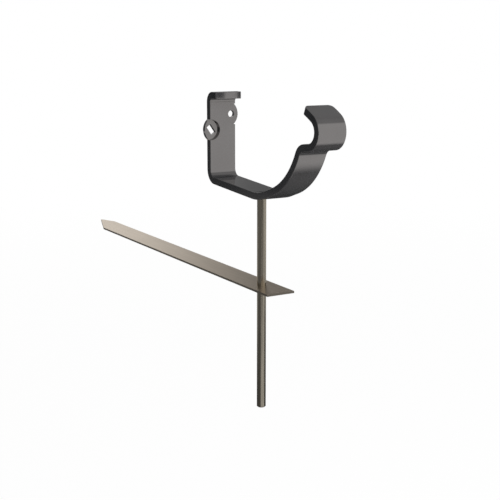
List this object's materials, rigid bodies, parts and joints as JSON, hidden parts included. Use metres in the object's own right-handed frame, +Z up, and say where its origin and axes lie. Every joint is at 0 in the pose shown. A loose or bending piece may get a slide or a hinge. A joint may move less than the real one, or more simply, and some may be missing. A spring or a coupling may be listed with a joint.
{
  "type": "gutter bracket",
  "caption": "Rise-and-fall gutter bracket: a bent flat-bar strap with a back leg, seat and hook, on a vertical rod that slides in a wall spike.",
  "frame": {"origin": "on the seat that the gutter rests on, at mid-width of the strap, directly over the axis of the rod", "axes": "+Z up, along the rod; +Y towards the wall, along the spike; X along the gutter, across the strap. The seat falls 3.6 degrees towards -Y"},
  "size_m": [0.0328, 0.4724, 0.2666],
  "materials": {
    "painted_strap": "gloss",
    "bare_steel": "satin"
  },
  "bodies": {
    "wall_spike": {"spike": "bare_steel"},
    "bracket": {"strap": "painted_strap", "rod": "bare_steel"}
  },
  "joints": [
    {"name": "height_slide", "type": "slide", "parent": "wall_spike", "child": "bracket", "axis": [0, 0, 1], "range_m": [-0.073, 0.095]}
  ]
}
